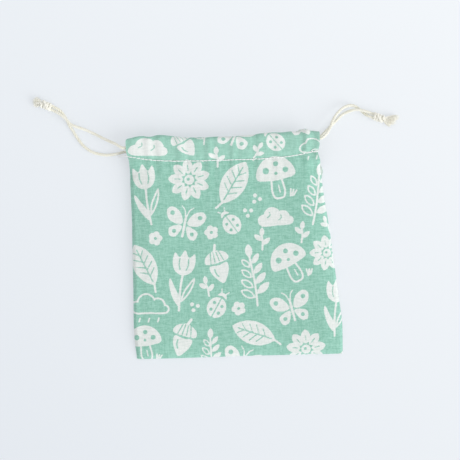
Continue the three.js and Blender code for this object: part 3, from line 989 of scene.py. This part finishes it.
cloth_pieces = {}
for half in ("left", "right"):
    for face, step, inward, shift in (("front", 0.62, -1, (3, 0, 1)), ("back", 1.1, 1, (40, 62, -1))):
        stitch_x = np.linspace(*half_ends(half, stitch_end_y[half]), odd(slit_half_width / step))
        body = body_grid(half, face, stitch_x, step)
        tunnel, along = tunnel_grid(half, face, stitch_x, step)
        if face == "front":
            tunnel[0] = body[-1]
        tunnel_flat = np.stack([tunnel[:, :, 0], stitch_line(tunnel[:, :, 0]) + along], 2)
        for part, grid, flat in (("panel", body, body[:, :, :2]), ("tunnel", tunnel, tunnel_flat)):
            name = f"{face}_{part}_{half}"
            piece = cloth_pieces[name] = make_ply(name, grid, inward, flat, shift)
            if part == "tunnel":
                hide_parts(f"{face}_panel", f"{face}_facing")
                gather(piece)
            else:
                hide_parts(f"{face}_panel")
                follow(piece)

# Sewing thread: single stitches along each tunnel, a loose end on the left and a few back stitches
# on the right

thread_radius = 0.35
thread_twist = 9
stitch_z = {"front": 9.1, "back": 0.36}
stitch_rise, stitch_sink = 0.25, 0.15
stitch_end_gap = {"left": 0.4, "right": 0.6}
thread_tails = {
    "left": (thread_radius, [
        (-69.4, 61.8, 8.9), (-70.9, 62.1, 8.6), (-72.6, 62.5, 7), (-74.3, 62.6, 4.4), (-75.9, 62.5, 1.9),
        (-77, 62.2, 0.5),
    ]),
    "right": (thread_radius * 0.9, [
        (58.3, 61.6, 9.5), (56.6, 61.4, 9.7), (54.8, 61.6, 9.7), (54.2, 62.4, 9.9), (55.4, 63.1, 10.1),
        (57, 63.3, 10.1), (58.2, 63.1, 9.9),
    ]),
}

n = Finish("white_thread", 0.7, sheen=0.2, specular=0.3)
twist = n.math("SINE", n.math("MULTIPLY", n.attribute("along"), thread_twist))
colour = n.mix(n.spread(twist, -1.0, 1.0), (250, 252, 252), (255, 255, 255))
thread_finish = n.finish(colour, twist, 0.00005, 0.6)


def stitches(half, face):
    left, right = half_ends(half, stitch_end_y[half], stitch_end_gap[half])
    xs = np.linspace(left, right, round((right - left) / stitch_pitch) + 1)
    front = face == "front"
    t = np.linspace(0, 1, 9)
    lift = stitch_rise * np.sin(t * pi) ** 0.7 - stitch_sink * np.abs(2 * t - 1) ** 4
    thick = thread_radius * (0.75 + 0.25 * np.sin(t * pi) ** 0.5)
    tubes = Tubes()
    for a, b in zip(xs, xs[1:]):
        hole = 0.05 * (b - a)
        jitter = rng.normal(0, 0.07, 2)
        start = np.array([a + hole / 2, stitch_line(a) + jitter[0], stitch_z[face]])
        end = np.array([b - hole / 2, stitch_line(b) + jitter[1], stitch_z[face]])
        path = start + (end - start) * t[:, None]
        path[:, 2] += front * lift
        tubes.add(path, thick, 7)
    if front:
        radius, tail = thread_tails[half]
        tubes.add(smooth_line(tail, 0.35), radius, 7)
    return tubes.make(f"{face}_tunnel_stitches_{half}", thread_finish)


stitch_rows = {}
for face in ("front", "back"):
    for half in ("left", "right"):
        piece = stitch_rows[face, half] = stitches(half, face)
        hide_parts(f"{face}_tunnel_stitching")
        gather(piece)


# Seam allowances: both plies, pressed flat inside the bag

seam_inset, seam_width = 3, 6
seam_top, seam_thickness = 1.44, 0.66
seam_steps = 9  # points across a strip


def seam_strip(name, node, edges):
    """A strip between two lines of points"""
    share = np.linspace(0, 1, seam_steps)[None, :, None]
    flat = edges[0][:, None] * (1 - share) + edges[1][:, None] * share
    wave = 0.05 * np.sin(flat[..., 0] / 1.7 + flat[..., 1] / 2.3)
    piece = make_ply(name, np.dstack([flat, seam_top + wave]), -1, flat, thickness=seam_thickness)
    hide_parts(node)
    return piece


sewn = {}
for half in ("left", "right"):
    y = np.linspace(-half_length + seam_inset + seam_width + 0.4, slit_bottom, 65)
    outer = left_edge(y) + seam_inset if half == "left" else right_edge(y) - seam_inset - seam_width
    edges = [np.stack([outer + k * seam_width, y], 1) for k in (0, 1)]
    strip = seam_strip(f"seam_allowance_{half}", f"{half}_side_seam", edges)
    follow(strip)
    sewn["back", half] = [strip]
x = np.linspace(left_edge(-70) + 2 * seam_inset, right_edge(-70) - 2 * seam_inset, 97)
edges = [np.stack([x, np.full(len(x), -half_length + seam_inset + k * seam_width)], 1) for k in (1, 0)]
strip = seam_strip("seam_allowance_bottom", "bottom_seam", edges)
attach(strip, "bag")
sewn["back", "left"].append(strip)

# Floor and light

own_light = 0.56  # share of the floor's look that is its plain colour, and the rest takes shadows
half_floor = 20000


def shown_rays(n):
    """1 for rays that show a backdrop, straight, mirrored or through glass, and 0 for rays that light"""
    rays = n.node("ShaderNodeLightPath").outputs
    seen = n.math("MAXIMUM", rays["Is Camera Ray"], rays["Is Glossy Ray"])
    return n.math("MAXIMUM", seen, rays["Is Transmission Ray"])


n = Finish("pale_floor", 0.9, specular=0.1)
place = n.node("ShaderNodeTexCoord").outputs["Object"]
apart = n.node("ShaderNodeSeparateXYZ", {"Vector": place}).outputs
# Painted light: the floor's colour is darker towards -x and -y and lighter towards +x and +y, as uneven light
# would fall on it
across = n.math("MULTIPLY_ADD", apart["Y"], 0.8, apart["X"])
colour = n.mix(n.spread(across, -0.28, 0.28, kind="LINEAR"), (230, 235, 241), (244, 248, 252))
n.finish(colour)
plain = n.node("ShaderNodeEmission", {"Color": colour, "Strength": 1.0}).outputs[0]
share = n.math("MULTIPLY", shown_rays(n), own_light)
both = n.node("ShaderNodeMixShader", {0: share, 1: n.shader.outputs[0], 2: plain})
n.fill(n.tree.nodes["Material Output"], {"Surface": both.outputs[0]})

corners = [(x * half_floor, y * half_floor, 0) for x, y in ((-1, -1), (1, -1), (1, 1), (-1, 1))]
floor = add_mesh("floor", corners, [(0, 1, 2, 3)], [n.material])
floor.location.z = -0.00005  # just under the lowest piece

sun_data = bpy.data.lights.new("key", "SUN")
sun_data.energy = 1.47
sun_data.angle = radians(41)
sun = add_object("key", sun_data)
sun.rotation_euler = Vector((-0.98, 0.6, -0.66)).to_track_quat("-Z", "Y").to_euler()

world = bpy.data.worlds.new("studio")
n = Nodes(world)
sky = n.fill(n.tree.nodes["Background"], {"Color": (1, 1, 1, 1), "Strength": 0.745})
horizon = n.node("ShaderNodeBackground", {"Color": from_srgb(237, 241, 246), "Strength": 1.0})
both = n.node("ShaderNodeMixShader", {0: shown_rays(n), 1: sky.outputs[0], 2: horizon.outputs[0]})
n.fill(n.tree.nodes["World Output"], {"Surface": both.outputs[0]})
scene.world = world
scene.view_settings.view_transform = "Standard"
